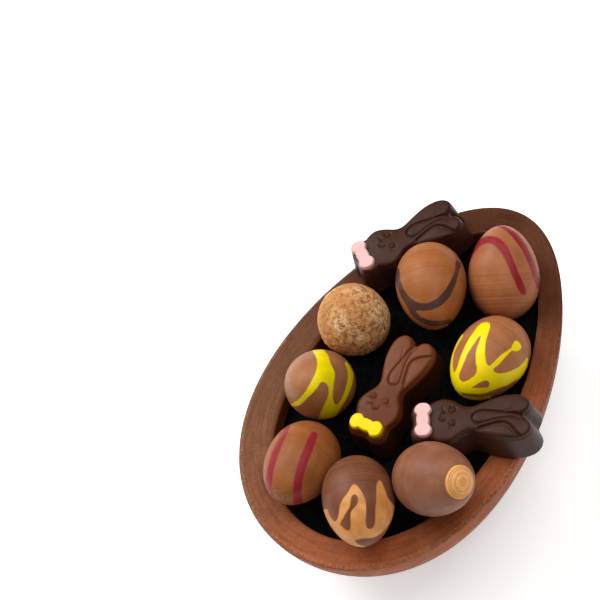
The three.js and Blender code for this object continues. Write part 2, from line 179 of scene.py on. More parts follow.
LATTICE_TALL_GAP = (
    (480.6, 335.8), (477.8, 337.6), (475.5, 341.4), (473, 345), (470, 349.6), (467, 355), (464.4, 361),
    (462, 367), (460, 372), (459, 376), (459.8, 379.5), (462.6, 381.7), (465.6, 381.3), (470, 379),
    (474, 376), (476.3, 372.4), (477, 368.4), (476, 364), (475.8, 358), (476, 352), (477.6, 346),
    (479.6, 341), (480.8, 337.5),
)
LATTICE_SMALL_GAP = (
    (472, 387.4), (475.6, 385), (479.6, 382.5), (483.6, 380.8), (487.4, 380.6), (489.2, 382.5),
    (489.2, 385.4), (487.8, 387.4), (483, 387.7), (478, 388),
)
YELLOW_BAND = (
    (311, 346), (312.8, 351.4), (315.2, 355.2), (317, 360), (317.2, 365), (316.4, 370), (314.5, 375),
    (312, 380), (309.3, 385), (306.4, 390), (302.8, 395), (298.4, 399.5), (294, 402.6), (290.8, 404.6),
    (294, 406.2), (299, 405.4), (303.2, 402), (308, 397.4), (313, 392.4), (317, 387.8), (319.6, 383.8),
    (320.8, 382.3), (322.8, 381.9), (325.2, 382.6), (327.4, 385), (328.5, 388.6), (328.6, 393),
    (327.4, 398), (325.4, 402.6), (323, 407), (321, 412), (319, 417), (317.6, 422), (331, 425),
    (337, 414.6), (339.6, 410), (342.8, 405), (346.2, 399), (349.2, 392.4), (351.6, 385.6), (353.1, 379),
    (353.2, 374), (351.6, 369), (348.6, 364.4), (345.8, 361.6), (345, 363.4), (346.8, 368), (347.9, 374),
    (347.4, 381), (345.8, 388), (343.3, 395), (340.4, 400.4), (337.4, 404.2), (335.2, 404.8),
    (333.9, 402.4), (333, 399), (332.8, 394), (333.1, 388), (333.7, 383), (334.7, 378), (334.9, 373.6),
    (333.8, 369.4), (331.6, 365.4), (329.8, 361), (328.6, 356.6), (326.2, 353), (322.8, 349), (318, 345),
)
BLOND_SWIRL = (
    (354, 484.2), (351.5, 486), (349.4, 490), (346, 495), (342.6, 499.5), (340.4, 504), (339.3, 509),
    (338.7, 514), (337.4, 519), (335, 521.8), (332, 519.4), (329.4, 515.4), (326.8, 509), (323, 510),
    (328, 524), (337, 538), (346, 547), (356, 553), (368, 554), (371, 549), (365, 546.6), (360, 545.4),
    (356.5, 543), (355, 540.6), (360, 539), (365, 538.4), (371, 538), (376, 536.5), (380, 534), (384, 531),
    (388, 525.6), (391.5, 521), (397, 519), (399, 512), (394.6, 506), (392, 503.4), (389.4, 500),
    (387, 495.4), (385, 490), (383, 485), (381.2, 481.4), (379.2, 480.2), (377.4, 482.4), (376.5, 487),
    (376.5, 494), (376.2, 501), (375.5, 508), (375.2, 515), (375.2, 521), (374.3, 525.4), (372, 528.2),
    (369.4, 529), (367, 527.6), (365.8, 524), (365.7, 517), (366.2, 510), (366, 504), (364.8, 498.5),
    (362.6, 493.5), (360.2, 489.5), (357.4, 486),
)
BLOND_SWIRL_GAP = (
    (354.5, 494.4), (352, 495.7), (350.8, 499), (350.4, 503.5), (349.2, 507.5), (347, 511), (345, 514.6),
    (343, 518.4), (340.9, 522), (340.4, 524.6), (342.6, 527), (345.6, 529.7), (348.6, 530.4),
    (350.3, 528.4), (350.7, 523), (350.5, 517), (350.9, 512.6), (352.6, 509.4), (355.5, 506.4),
    (357.6, 503), (358.2, 499), (357.3, 496),
)
# What lies inside an odd number of an egg's outlines is band.
OUTLINES = {
    "caramel_swirl_egg": (CARAMEL_SWIRL,),
    "yellow_lattice_egg": (YELLOW_LATTICE, LATTICE_TALL_GAP, LATTICE_SMALL_GAP),
    "yellow_band_egg": (YELLOW_BAND,),
    "blond_swirl_egg": (BLOND_SWIRL, BLOND_SWIRL_GAP),
}

DISC_EGG = "blond_tip_egg"  # its band is a disc round the pointed tip
TIP_DISC_RADIUS = 6.0
NO_BAND = 9.0  # millimetres, the band attribute far from any band
BAND_RUN_OUT = 6.0  # how fast a band narrows past the edge of the side that is seen
BAND_KEPT_CLEAR = 30.0  # how strictly turned copies stay off the side that is seen


def linear(colour):
    """A colour written as #rrggbb, as the shaders want it."""
    shares = [int(colour[i:i + 2], 16) / 255 for i in (1, 3, 5)]
    return tuple(((s + 0.055) / 1.055) ** 2.4 if s > 0.04045 else s / 12.92 for s in shares) + (1,)


# ---- Curves, noise and placing ----

def smooth_curve(points, steps, closed=False):
    """A centripetal Catmull-Rom curve through points of any number of coordinates."""
    points = np.array(points, float)
    if closed:
        spans = [[points[(i + k) % len(points)] for k in (-1, 0, 1, 2)] for i in range(len(points))]
    else:
        ends = np.vstack([2 * points[0] - points[1], points, 2 * points[-1] - points[-2]])
        spans = [ends[i:i + 4] for i in range(len(points) - 1)]
    share = np.linspace(0, 1, steps, endpoint=False)[:, None]
    curve = [hermite_span(*span, share) for span in spans]
    if not closed:
        curve.append(points[-1:])
    return np.vstack(curve)


def hermite_span(before, start, end, after, share):
    """Points of the curve between two of its points, at shares of the way."""
    pairs = ((before, start), (start, end), (end, after))
    gaps = [max(math.sqrt(np.linalg.norm(b - a)), 1e-4) for a, b in pairs]
    first = (start - before) / gaps[0] - (end - before) / (gaps[0] + gaps[1]) + (end - start) / gaps[1]
    last = (end - start) / gaps[1] - (after - start) / (gaps[1] + gaps[2]) + (after - end) / gaps[2]
    first, last = first * gaps[1], last * gaps[1]
    square, cube = share ** 2, share ** 3
    return (
        (2 * cube - 3 * square + 1) * start + (cube - 2 * square + share) * first
        + (3 * square - 2 * cube) * end + (cube - square) * last
    )


def smooth_step(low, high, value):
    share = np.clip((value - low) / (high - low), 0, 1)
    return share * share * (3 - 2 * share)


def wander(points, per_mm, seed, octaves=1):
    """Noise between about -1 and 1 at each point, finer with each octave."""
    shift = Vector((seed * 7.31, seed * 3.17, seed * 5.53))
    values = np.zeros(len(points))
    for octave in range(octaves):
        scale = per_mm * 2 ** octave
        values += [noise.noise(Vector(p) * scale + shift) / 2 ** octave for p in points]
    return values


def full_turn(steps):
    return np.linspace(0, 2 * np.pi, steps, endpoint=False)


def ridge(distance, height, width):
    """A soft ridge by the distance from its middle. Taken away, it is a groove."""
    return height * np.exp(-(distance / width) ** 2)


def distance_to(flat, at):
    """How far each point in the plane is from a place."""
    return np.hypot(flat[:, 0] - at[0], flat[:, 1] - at[1])


def away_from_span(flat, start, end):
    """From the nearest place on a straight span to each point in the plane."""
    span = end - start
    share = np.clip(((flat - start) @ span) / max(span @ span, 1e-9), 0, 1)
    return flat - start - share[:, None] * span


def line_distance(flat, line):
    """Distance in the plane from each point to a line of points."""
    nearest = np.full(len(flat), FAR)
    for start, end in zip(line[:-1], line[1:]):
        nearest = np.minimum(nearest, np.linalg.norm(away_from_span(flat, start, end), axis=1))
    return nearest


def side_of(flat, line):
    """Which side of a line each point is on: 1 to its left, -1 to its right."""
    nearest = np.full(len(flat), FAR)
    side = np.zeros(len(flat))
    for start, end in zip(line[:-1], line[1:]):
        span = end - start
        away = away_from_span(flat, start, end)
        distance = np.linalg.norm(away, axis=1)
        closer = distance < nearest
        nearest[closer] = distance[closer]
        side[closer] = np.sign(span[0] * away[closer, 1] - span[1] * away[closer, 0])
    return side


def placement(at, azimuth=0, elevation=0):
    """Local +X aimed by azimuth about Z and by elevation above the level, at a place in mm."""
    turn = Matrix.Rotation(math.radians(azimuth), 4, "Z") @ Matrix.Rotation(-math.radians(elevation), 4, "Y")
    return Matrix.Translation(RIM_MIDDLE + Vector(at) * MM) @ turn


def to_rim(points, place):
    """Local points in mm, as points in mm from the middle of the rim plane."""
    turned = np.array(points) @ np.array(place.to_3x3()).T
    return turned + np.array((place.to_translation() - RIM_MIDDLE) / MM)


# ---- Meshes ----

def side_faces(ring_count, around):
    """Quads between equal rings of points."""
    faces = []
    for r in range(ring_count - 1):
        for i in range(around):
            a, b = r * around + i, r * around + (i + 1) % around
            faces.append((a, b, b + around, a + around))
    return faces


def ring_faces(ring_count, around, first_tip, last_tip):
    """The quads between rings, and a fan at each end to a tip point."""
    faces = side_faces(ring_count, around)
    last = (ring_count - 1) * around
    for i in range(around):
        faces.append((first_tip, (i + 1) % around, i))
        faces.append((last_tip, last + i, last + (i + 1) % around))
    return faces


def ring_mesh(name, rings, first_tip, last_tip):
    """A closed mesh of rings, each an array of points, and the two tips that close it."""
    around = len(rings[0])
    points = np.vstack([*rings, [first_tip], [last_tip]])
    tip = len(rings) * around
    return mesh_of(name, points, ring_faces(len(rings), around, tip, tip + 1))


def mesh_of(name, points, faces):
    mesh = bpy.data.meshes.new(name)
    mesh.from_pydata((np.array(points) * MM).tolist(), [], faces)
    face_outwards(mesh)
    mesh.shade_smooth()
    return mesh


def face_outwards(mesh):
    work = bmesh.new()
    work.from_mesh(mesh)
    if work.calc_volume(signed=True) < 0:
        bmesh.ops.reverse_faces(work, faces=work.faces)
    work.to_mesh(mesh)
    work.free()


def rows_of(values, key):
    """The vectors that a mesh holds for its vertices, one to a row."""
    flat = np.zeros(len(values) * 3)
    values.foreach_get(key, flat)
    return flat.reshape(-1, 3)


def points_of(mesh):
    """A mesh's vertices in millimetres."""
    return rows_of(mesh.vertices, "co") / MM


def move_points(mesh, points):
    mesh.vertices.foreach_set("co", (points * MM).ravel())
    mesh.update()


def add_attribute(mesh, name, values):
    attribute = mesh.attributes.new(name, "FLOAT", "POINT")
    attribute.data.foreach_set("value", np.asarray(values, np.float32))


def add_object(name, data):
    added = bpy.data.objects.new(name, data)
    bpy.context.scene.collection.objects.link(added)
    return added


def add_piece(node, mesh, material, place=None):
    """Puts a mesh in the scene as the piece that stands for a node of the frame."""
    piece = add_object(node + "_detailed", mesh)
    piece.matrix_world = place or placement((0, 0, 0))
    mesh.materials.append(material)
    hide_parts(node)
    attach(piece, "root")


# ---- Material nodes ----

class Look:
    """A material with a Principled shader, and short ways to add the nodes that feed it."""

    def __init__(self, name, specular):
        self.material = bpy.data.materials.new(name)
        self.material.use_nodes = True
        self.tree = self.material.node_tree
        self.shader = self.tree.nodes["Principled BSDF"]
        self.shader.inputs["Specular IOR Level"].default_value = specular
        place = self.add("TexCoord").outputs["Object"]
        self.place = self.add("VectorMath", {"operation": "SCALE"}, {0: place, "Scale": 1 / MM}).outputs[0]

    def add(self, kind, settings=None, inputs=None):
        node = self.tree.nodes.new("ShaderNode" + kind)
        for name, value in (settings or {}).items():
            setattr(node, name, value)
        for name, value in (inputs or {}).items():
            self.feed(node.inputs[name], value)
        return node

    def feed(self, socket, value):
        """Links a socket to another one, or sets it to a value or to a #rrggbb colour."""
        if isinstance(value, bpy.types.NodeSocket):
            self.tree.links.new(value, socket)
        else:
            socket.default_value = linear(value) if isinstance(value, str) else value

    def axes(self):
        """How far along the piece's own X, Y and Z each place is, in mm."""
        return self.add("SeparateXYZ", None, {0: self.place}).outputs

    def noise(self, per_mm, detail, squeeze=None):
        """Noise from 0 to 1, finer along the directions that are squeezed."""
        place = self.place
        if squeeze:
            place = self.add("VectorMath", {"operation": "MULTIPLY"}, {0: place, 1: squeeze}).outputs[0]
        inputs = {"Vector": place, "Scale": per_mm, "Detail": detail}
        return self.add("TexNoise", None, inputs).outputs["Fac"]

    def rings(self, per_mm, detail, along):
        """Noise that changes with one value only, as marks of turning do along the axis."""
        inputs = {"W": along, "Scale": per_mm, "Detail": detail}
        return self.add("TexNoise", {"noise_dimensions": "1D"}, inputs).outputs["Fac"]

    def attribute(self, name):
        return self.add("Attribute", {"attribute_name": name}).outputs["Fac"]

    def times(self, a, b, plus=0.0):
        return self.add("Math", {"operation": "MULTIPLY_ADD"}, {0: a, 1: b, 2: plus}).outputs[0]

    def minus(self, a, b):
        return self.add("Math", {"operation": "SUBTRACT"}, {0: a, 1: b}).outputs[0]

    def within(self, value, low, high, to_low=0.0, to_high=1.0):
        """Maps low..high smoothly to to_low..to_high, and holds the ends."""
        inputs = {"Value": value, "From Min": low, "From Max": high, "To Min": to_low, "To Max": to_high}
        return self.add("MapRange", {"interpolation_type": "SMOOTHSTEP"}, inputs).outputs[0]

    def mix(self, share, a, b, blend="MIX"):
        settings = {"data_type": "RGBA", "blend_type": blend}
        return self.add("Mix", settings, {0: share, 6: a, 7: b}).outputs[2]

    def tint(self, colour, towards, *shares):
        """Takes a colour towards another one by a share, or by the product of several shares."""
        share = shares[0]
        for other in shares[1:]:
            share = self.times(share, other)
        return self.mix(share, colour, towards)

    def paint(self, colour, roughness, height=None, depth_mm=0.0):
        """Gives the shader its colour and roughness, and fine relief from a height of 0 to 1."""
        self.feed(self.shader.inputs["Base Color"], colour)
        self.feed(self.shader.inputs["Roughness"], roughness)
        if height is not None:
            bump = self.add("Bump", None, {"Strength": 1.0, "Distance": depth_mm * MM, "Height": height})
            self.feed(self.shader.inputs["Normal"], bump.outputs[0])
        return self.material


def small_egg_look(name, base, light, band):
    """Satin chocolate with marks of turning near the blunt end, and bands of another colour."""
    look = Look(name, 0.18)
    along = look.axes()["X"]
    turning = look.minus(look.rings(1.1, 3.0, along), 0.5)
    streaks = look.times(turning, look.within(along, 7, -6, 0.1, 1.0))
    mottle = look.times(look.noise(0.16, 3.0), 0.6, 0.2)
    tone = look.times(streaks, 0.85, mottle)
    colour = look.mix(look.within(tone, 0.32, 0.68), base, light)
    first, second, softness = band
    edge = look.times(look.noise(0.9, 2.0), 0.3, look.minus(look.attribute("band"), 0.15))
    share = look.within(edge, softness, -softness)
    shade = look.mix(look.within(look.noise(0.22, 2.0), 0.35, 0.65), first, second)
    if name == DISC_EGG:
        rings = look.rings(1.5, 2.0, look.attribute("from_tip"))
        shade = look.tint(shade, "#a06a34", look.within(rings, 0.4, 0.62, 0.0, 0.4))
    colour = look.mix(share, colour, shade)
    roughness = look.within(look.noise(0.5, 3.0), 0.3, 0.7, 0.36, 0.48)
    height = look.times(look.noise(2.5, 2.0), 0.2, streaks)
    return look.paint(colour, roughness, height, 0.045)


def moulded_look(name, base, light, roughness_range, lit_ears_and_shaded_flanks=None):
    """Plain satin chocolate from a mould, faintly uneven in tone and gloss, with painted light on the ears
    and painted shade on the lower flanks when they are given.
    """
    look = Look(name, 0.15)
    tone = look.within(look.noise(0.12, 4.0), 0.3, 0.7)
    colour = look.mix(tone, base, light)
    if lit_ears_and_shaded_flanks:
        ears, flanks = lit_ears_and_shaded_flanks
        place = look.axes()
        # Painted light: lighter towards the ears. Painted shade: darker down the flanks below the face.
        colour = look.tint(colour, ears, look.within(place["X"], 12, 26), 0.6)
        colour = look.tint(colour, flanks, look.within(place["Z"], -2, -4.5))
    roughness = look.within(look.noise(0.35, 3.0), 0.3, 0.7, *roughness_range)
    return look.paint(colour, roughness, look.noise(1.4, 3.0), 0.02)


# ---- The large half egg ----

def egg_points(half_length, half_width, depth, taper, side_shift, around, down):
    """Points of a half egg that hangs below the rim plane, lying along X."""
    along = np.cos(around) * math.cos(down)
    narrowing = 1 - taper * along
    return np.stack([
        half_length * along,
        side_shift + half_width * narrowing * np.sin(around) * math.cos(down),
        -depth * narrowing * math.sin(down),
    ], 1)


def outer_egg(around, down, grown=0):
    sizes = (EGG_HALF_LENGTH + grown, EGG_HALF_WIDTH + grown, EGG_HALF_WIDTH + grown)
    return egg_points(*sizes, EGG_TAPER, 0, around, down)


def inner_egg(around, down, grown=0):
    sizes = (HOLLOW_HALF_LENGTH + grown, HOLLOW_HALF_WIDTH + grown, HOLLOW_DEPTH + grown)
    return egg_points(*sizes, HOLLOW_TAPER, HOLLOW_SIDE_SHIFT, around, down)


SHELL_AROUND = 560
SHELL_OUTSIDE_RINGS = 44
SHELL_FACE_RINGS = 22
SHELL_INSIDE_RINGS = 34
SHELL_ROUND_STEPS = 5
RIM_LIP = 0.14  # a fine raised lip that the mould leaves along the outer edge
RIM_LIP_AT, RIM_LIP_WIDTH = 0.05, 0.045  # shares of the way over the rim
RIM_WAVES = 0.16
RIM_PIT_DEPTH = 1.1
RIM_PIT_RARITY = 0.52
RIM_UNEVEN_FROM, RIM_UNEVEN_TO = -5, -0.8  # levels over which waves and pits set in
INNER_EDGE_RAGGED = 0.32


def shell_rings():
    """Rings up the outside, over the rim and down the inside."""
    around = full_turn(SHELL_AROUND)
    ragged = rim_raggedness(around)
    outside = [math.pi / 2 * i / SHELL_OUTSIDE_RINGS for i in range(SHELL_OUTSIDE_RINGS - 1, 0, -1)]
    rings = [outer_egg(around, down) for down in outside]
    rounding = np.linspace(0, math.pi / 2, SHELL_ROUND_STEPS)
    for angle in rounding:
        ring = outer_egg(around, 0, RIM_OUTER_ROUND * (math.cos(angle) - 1))
        rings.append(ring + [0, 0, RIM_OUTER_ROUND * (math.sin(angle) - 1)])
    outer = outer_egg(around, 0, -RIM_OUTER_ROUND)
    inner = inner_egg(around, 0, RIM_INNER_ROUND) + ragged
    for i in range(1, SHELL_FACE_RINGS):
        share = i / SHELL_FACE_RINGS
        lip = ridge(share - RIM_LIP_AT, RIM_LIP, RIM_LIP_WIDTH)
        rings.append(outer * (1 - share) + inner * share + [0, 0, lip])
    for angle in rounding:
        ring = inner_egg(around, 0, RIM_INNER_ROUND * (1 - math.sin(angle)))
        rings.append(ring + ragged * math.cos(angle) + [0, 0, RIM_INNER_ROUND * (math.cos(angle) - 1)])
    for i in range(1, SHELL_INSIDE_RINGS):
        rings.append(inner_egg(around, math.pi / 2 * i / SHELL_INSIDE_RINGS))
    return rings


def rim_raggedness(around):
    """How far the inner edge of the rim wanders sideways, where the chocolate was cut and melted."""
    edge = inner_egg(around, 0)
    amount = INNER_EDGE_RAGGED * (wander(edge, 0.14, 1) + 0.7 * wander(edge, 0.55, 2, 2))
    towards_middle = -edge / np.linalg.norm(edge, axis=1)[:, None]
    return towards_middle * amount[:, None]


def shell_mesh():
    bottom, hollow_bottom = (0, 0, -EGG_HALF_WIDTH), (0, HOLLOW_SIDE_SHIFT, -HOLLOW_DEPTH)
    mesh = ring_mesh("shell_detailed", shell_rings(), bottom, hollow_bottom)
    points = points_of(mesh)
    near_rim = smooth_step(RIM_UNEVEN_FROM, RIM_UNEVEN_TO, points[:, 2])
    points[:, 2] += RIM_WAVES * near_rim * wander(points, 0.07, 3, 2)
    pits = np.clip(wander(points, 0.45, 4) - RIM_PIT_RARITY, 0, 1)
    points[:, 2] -= RIM_PIT_DEPTH * near_rim * pits
    points[:, 2] = np.maximum(points[:, 2], -RIM_HEIGHT)
    move_points(mesh, points)
    along = points[:, 0] / EGG_HALF_LENGTH
    across = points[:, 1] / (1 - EGG_TAPER * along)
    add_attribute(mesh, "outward", np.hypot(along * EGG_HALF_WIDTH, across))
    return mesh


def shell_painted_light_and_tone(look, along, across):
    """Painted light and shade over the shell, then faint patches of tone at random."""
    # Painted light and shade: lighter and redder towards the blunt end, darker towards the pointed end.
    colour = look.mix(look.within(along, -85, 85), "#a05632", "#441e0b")
    # Painted shade with a painted sheen: darker in red and greyer towards +Y.
    colour = look.mix(look.within(across, -12, 42), colour, (0.57, 0.88, 1.18, 1), "MULTIPLY")
    # Painted light: lighter and redder towards -Y near the blunt end.
    colour = look.tint(colour, "#aa5c36", look.within(across, -8, -36), look.within(along, 50, 5), 0.6)
    return look.tint(colour, "#84553a", look.within(look.noise(0.045, 4.0), 0.35, 0.65), 0.2)


def lines_round_egg(look, along, across, outward):
    """Noise drawn out into thin lines that run round the egg."""
    drawn_out = look.add("CombineXYZ", None, {
        "X": look.times(outward, 1.2),
        "Y": look.times(along, 0.07),
        "Z": look.times(across, 0.07),
    }).outputs[0]
    inputs = {"Vector": drawn_out, "Scale": 1.0, "Detail": 7.0, "Roughness": 0.62}
    return look.add("TexNoise", None, inputs).outputs["Fac"]


def shell_marbling(look, colour, along, lines, on_rim):
    """Fine dark and light lines, dark streaks and pale specks."""
    colour = look.tint(colour, "#4c220f", look.within(lines, 0.44, 0.64), on_rim, 0.26)
    light_lines = look.times(look.within(lines, 0.46, 0.3), on_rim)
    colour = look.tint(colour, "#a46a4a", light_lines, look.within(along, 60, -20, 0.06, 0.26))
    streaks = look.noise(0.35, 6.0, (1, 1, 3))
    colour = look.tint(colour, "#4c220f", look.within(streaks, 0.42, 0.62), 0.16)
    specks = look.within(look.noise(1.7, 5.0), 0.55, 0.68)
    return look.tint(colour, "#a67e66", specks, look.within(along, 40, -40, 0.08, 0.26))


def shell_edges(look, colour, along, level, outward):
    """A pale inner edge of the rim, painted shade on the inner wall under it, and pale chips on the outer
    lip that are also a painted highlight, stronger towards the blunt end.
    """
    inner_side = look.within(outward, 45, 42)
    edge = look.times(look.within(level, -0.1, -0.5), look.within(level, -2.4, -1.2))
    colour = look.tint(colour, "#b4714e", edge, inner_side, 0.5)
    # Painted shade: the inner wall under the rim darkened to dark red where it falls into the hollow.
    colour = look.tint(colour, "#5e2412", look.within(level, -1.2, -2.4), inner_side, 0.7)
    # Painted highlight along the outer lip, broken into chips by noise and stronger towards the blunt end.
    lip = look.times(look.within(outward, 47.4, 48.2), look.within(level, -1.1, -0.4))
    lip_chips_and_highlight = look.within(look.noise(1.1, 6.0), 0.4, 0.66)
    return look.tint(colour, "#bb917a", lip, lip_chips_and_highlight, look.within(along, 60, 0, 0.04, 0.3))


def shell_look():
    """Satin chocolate, marbled and finely specked, with painted light and shade and a painted highlight
    along the lip.
    """
    look = Look("shell_chocolate", 0.07)
    place = look.axes()
    along, across, level = place["X"], place["Y"], place["Z"]
    outward = look.attribute("outward")
    lines = lines_round_egg(look, along, across, outward)
    on_rim = look.within(level, -1.6, -0.5, 0.12, 1.0)
    colour = shell_painted_light_and_tone(look, along, across)
    colour = shell_marbling(look, colour, along, lines, on_rim)
    colour = shell_edges(look, colour, along, level, outward)
    roughness = look.within(look.noise(0.2, 4.0), 0.3, 0.7, 0.44, 0.6)
    height = look.times(look.times(lines, on_rim), 0.8, look.noise(0.8, 4.0))
    return look.paint(colour, roughness, height, 0.1)


# ---- The bed of crumpled tissue ----

BED_AROUND = 420
BED_RINGS = 110
BED_WALL_RINGS = 12
BED_EDGE_ANGLE = 9
BED_MIDDLE_LEVEL = -3
BED_NEST_RADIUS = 9
BED_NEST_RISE = 1.5
BED_NEST_TOP = -1
BED_WALL_GAP = 0.2
FOLD_BEND = 5
FOLD_HEIGHTS = (1.3, 0.75, 0.22)
BUNNY_MIDDLE = 14  # from the bow to where the tissue carries it


def crease(t):
    """Straight-sided folds between -0.5 and 0.5, one to each whole number."""
    return 2 * np.abs(t - np.round(t)) - 0.5


def bed_folds(x, y):
    """Sharp folds of three sizes, bent a little by noise as crumpled paper is."""
    flat = np.stack([x, y, np.zeros_like(x)], 1)
    u = x + FOLD_BEND * wander(flat, 0.06, 11)
    v = y + FOLD_BEND * wander(flat, 0.06, 12)
    large = crease(x / 17 + y / 31) + crease(y / 13 - x / 29 + 0.3) + crease((x + y) / 19 + 0.6)
    middle = crease(u / 7.1 + v / 12.7) + crease(v / 6.3 - u / 15.1 + 0.2) + crease((u - v) / 9.2 + 0.4)
    fine = crease(u / 2.9 - v / 4.3) + crease(v / 2.3 + u / 5.9 + 0.1)
    return FOLD_HEIGHTS[0] * large + FOLD_HEIGHTS[1] * middle + FOLD_HEIGHTS[2] * fine


def carried_places():
    """The middle of each piece that the tissue carries, and the level of its underside."""
    places = [(at, at[2] - SMALL_EGG_HALF_WIDTH * size) for at, _, _, size in EGG_PLACES.values()]
    for at, azimuth, _, _ in BUNNY_PLACES.values():
        turn = math.radians(azimuth)
        middle = (at[0] + BUNNY_MIDDLE * math.cos(turn), at[1] + BUNNY_MIDDLE * math.sin(turn))
        places.append((middle, at[2] - BUNNY_THICKNESS))
    places.append((TRUFFLE_AT, TRUFFLE_AT[2] - TRUFFLE_RADIUS))
    return places


def bed_level(x, y, out, edge_level):
    """Height of the tissue at a share of the way out, raised to a nest under each sweet."""
    level = BED_MIDDLE_LEVEL + (edge_level - BED_MIDDLE_LEVEL) * out ** 2
    for at, underside in carried_places():
        near = np.exp(-((x - at[0]) ** 2 + (y - at[1]) ** 2) / BED_NEST_RADIUS ** 2)
        nest = min(underside + BED_NEST_RISE, BED_NEST_TOP)
        level = level + np.maximum(0, nest - level) * near * (1 - out ** 6)
    return level + bed_folds(x, y) * (1 - out ** 8)


def bed_mesh():
    around = full_turn(BED_AROUND)
    edge_down = math.radians(BED_EDGE_ANGLE)
    rings = []
    for i in range(1, BED_WALL_RINGS + 1):
        down = math.pi / 2 + (edge_down - math.pi / 2) * i / BED_WALL_RINGS
        rings.append(inner_egg(around, down, -BED_WALL_GAP))
    edge = rings[-1]
    for i in range(BED_RINGS - 1, 0, -1):
        out = i / BED_RINGS
        x = edge[:, 0] * out
        y = HOLLOW_SIDE_SHIFT + (edge[:, 1] - HOLLOW_SIDE_SHIFT) * out
        rings.append(np.stack([x, y, bed_level(x, y, out, edge[:, 2])], 1))
    bottom = (0, HOLLOW_SIDE_SHIFT, -HOLLOW_DEPTH + BED_WALL_GAP)
    middle = (0, HOLLOW_SIDE_SHIFT, rings[-1][:, 2].mean())
    return ring_mesh("tissue_bed_detailed", rings, bottom, middle)


def bed_look():
    look = Look("black_tissue", 0.08)
    tone = look.within(look.noise(0.5, 3.0), 0.3, 0.7)
    # Near black, darker than black paper: black tissue whose colour is also painted shade for the deep gaps
    # between the sweets.
    colour = look.mix(tone, "#040303", "#080505")
    return look.paint(colour, look.within(tone, 0, 1, 0.7, 0.85), look.noise(1.2, 3.0), 0.03)


# ---- The small eggs ----

EGG_RINGS = 200
EGG_AROUND = 180
SEAM_AT = 0.37  # share of the way from the blunt end to the pointed end, along the skin
SEAM_DEPTH = 0.05
SEAM_LINES = (-1.6, -0.5, 0.7)  # the seam is three fine grooves, this far from its place
FINE_GROOVE = 0.26
RINGS_TO_TIP = 1.35  # above 1, the rings of the mesh are closer together at the pointed tip
EGG_SWELL, EGG_GRAIN = 0.14, 0.02
TURNING_RELIEF = (0.02, 0.012)  # coarse and fine marks of turning
# The rings that two of the eggs have round their pointed tip: radius and depth.
TIP_RINGS = {
    "red_striped_low_egg": ((2.8, 0.24), (2.0, 0.12), (1.2, 0.1)),
    "blond_tip_egg": ((6.0, 0.2), (4.9, 0.1), (4.2, 0.12), (3.4, 0.09), (2.7, 0.16), (1.3, 0.1)),
}


def small_egg_mesh(node, size, seed):
    half_length = SMALL_EGG_HALF_LENGTH * size
    half_width = SMALL_EGG_HALF_WIDTH * size
    angle = np.pi * (1 - np.linspace(1, 0, EGG_RINGS + 1) ** RINGS_TO_TIP)
    along = -np.cos(angle)
    across = (1 - SMALL_EGG_TAPER * along) * np.sin(angle)
    steps = np.hypot(np.diff(along * half_length), np.diff(across * half_width))
    skin = np.concatenate([[0], np.cumsum(steps)])
    raised = egg_relief(skin, skin[-1], seed, TIP_RINGS.get(node, ()))
    reach = half_length * along + raised * along
    radius = half_width * across + raised * np.sin(angle)
    around = full_turn(EGG_AROUND)
    circle = np.stack([np.zeros_like(around), np.cos(around), np.sin(around)], 1)
    rings = [circle * radius[i] + [reach[i], 0, 0] for i in range(1, EGG_RINGS)]
    mesh = ring_mesh(node, rings, (reach[0], 0, 0), (reach[-1], 0, 0))
    points = points_of(mesh)
    swell = EGG_SWELL * wander(points, 0.07, seed + 20) + EGG_GRAIN * wander(points, 0.5, seed + 40)
    points *= (1 + swell / half_width)[:, None]
    move_points(mesh, points)
    return mesh


def egg_relief(skin, length, seed, tip_rings):
    """Height of the skin over the plain egg, by the distance along it from the blunt end."""
    line = np.stack([skin, np.zeros_like(skin), np.zeros_like(skin)], 1)
    raised = TURNING_RELIEF[0] * wander(line, 0.7, seed) + TURNING_RELIEF[1] * wander(line, 1.7, seed + 1)
    for shift in SEAM_LINES:
        raised -= ridge(skin - SEAM_AT * length - shift, SEAM_DEPTH, FINE_GROOVE)
    for radius, depth in tip_rings:
        raised -= ridge(length - skin - radius, depth, FINE_GROOVE)
    return raised


def to_pixels(points):
    """Where points in mm are seen in the image, and how many mm one pixel is there."""
    away = points - np.array(CAMERA_AT)
    depth = -away @ np.array(CAMERA_BACK)
    across = away @ np.array(CAMERA_RIGHT) / depth * FOCAL_PIXELS
    up = away @ np.array(CAMERA_UP) / depth * FOCAL_PIXELS
    return np.stack([IMAGE_SIZE / 2 + across, IMAGE_SIZE / 2 - up], 1), depth / FOCAL_PIXELS


def stripe_distance(pixels, stripe):
    """How many pixels each place is outside a stripe of varying width; negative within it."""
    nearest = np.full(len(pixels), FAR)
    for x, y, width in smooth_curve(stripe, 8):
        nearest = np.minimum(nearest, distance_to(pixels, (x, y)) - width / 2)
    return nearest


def inside_count(pixels, outline):
    """How many edges of a closed outline are crossed on the way from each place to the left."""
    count = np.zeros(len(pixels), int)
    for (x0, y0), (x1, y1) in zip(outline, np.roll(outline, -1, 0)):
        spans = (pixels[:, 1] < y0) != (pixels[:, 1] < y1)
        crossing = x0 + (pixels[:, 1] - y0) * (x1 - x0) / (y1 - y0 if y1 != y0 else 1)
        count += spans & (crossing < pixels[:, 0])
    return count


def outline_distance(pixels, outlines):
    """How many pixels each place is from the outlines; negative inside an odd number of them."""
    nearest = np.full(len(pixels), FAR)
    crossed = np.zeros(len(pixels), int)
    for corners in outlines:
        outline = smooth_curve(corners, 3, closed=True)
        nearest = np.minimum(nearest, line_distance(pixels, np.vstack([outline, outline[:1]])))
        crossed += inside_count(pixels, outline)
    return np.where(crossed % 2 == 1, -nearest, nearest)


